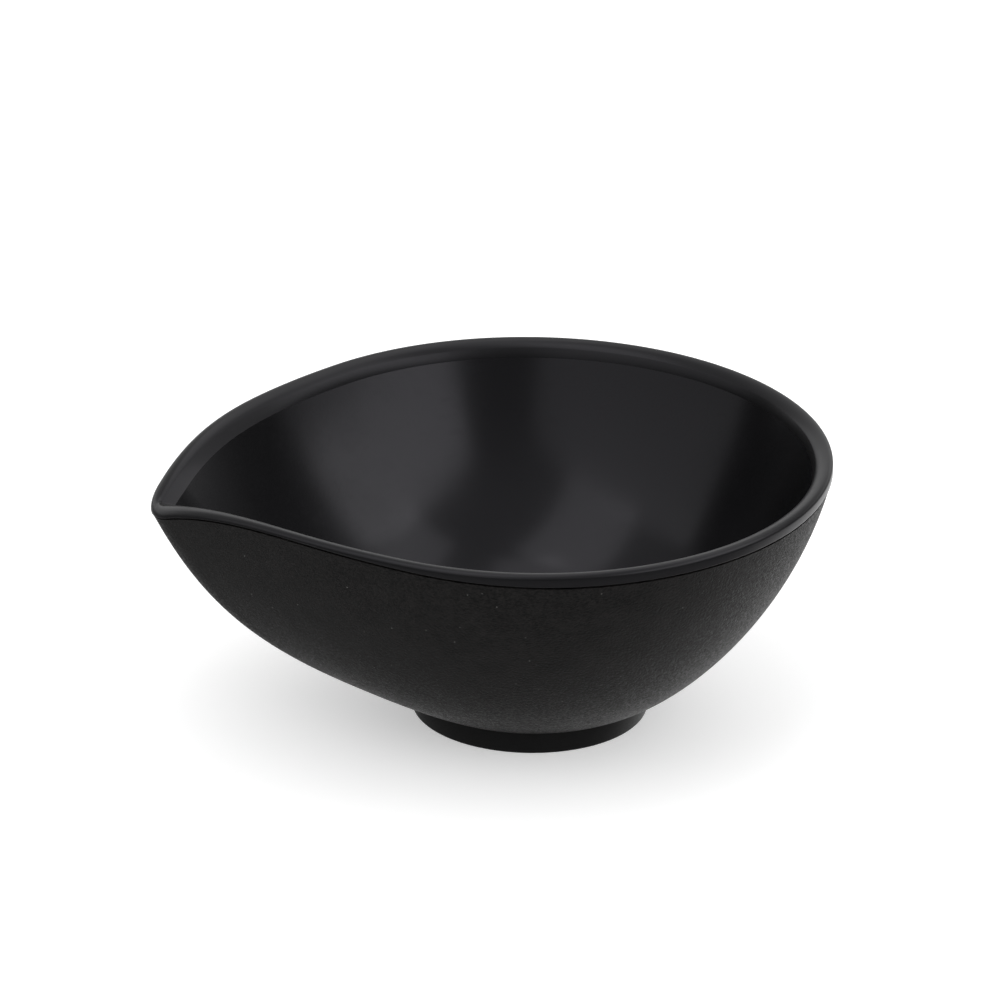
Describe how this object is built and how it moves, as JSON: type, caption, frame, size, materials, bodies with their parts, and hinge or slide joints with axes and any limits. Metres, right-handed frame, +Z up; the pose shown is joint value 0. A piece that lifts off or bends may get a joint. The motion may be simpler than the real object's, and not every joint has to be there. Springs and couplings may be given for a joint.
{
  "type": "hair colour mixing bowl",
  "caption": "Teardrop-shaped mixing bowl for hair colour with a pouring spout, a rolled glossy rim, a matte outer shell and a low round rubber foot.",
  "frame": {"origin": "centre of the foot ring's resting face, on the axis of the bowl's round part", "axes": "+Z up out of the bowl, spout along -X, +Y to the bowl's left seen from its round end towards the spout"},
  "size_m": [0.1505, 0.132, 0.061],
  "materials": {
    "matte_shell": "moulded charcoal black with a fine sandy grain",
    "gloss_liner": "smooth glossy black with faint wipe marks",
    "foot_rubber": "smooth dull black rubber"
  },
  "bodies": {
    "root": {"outer_shell": "matte_shell", "inner_liner": "gloss_liner", "foot_ring": "foot_rubber"}
  },
  "joints": []
}
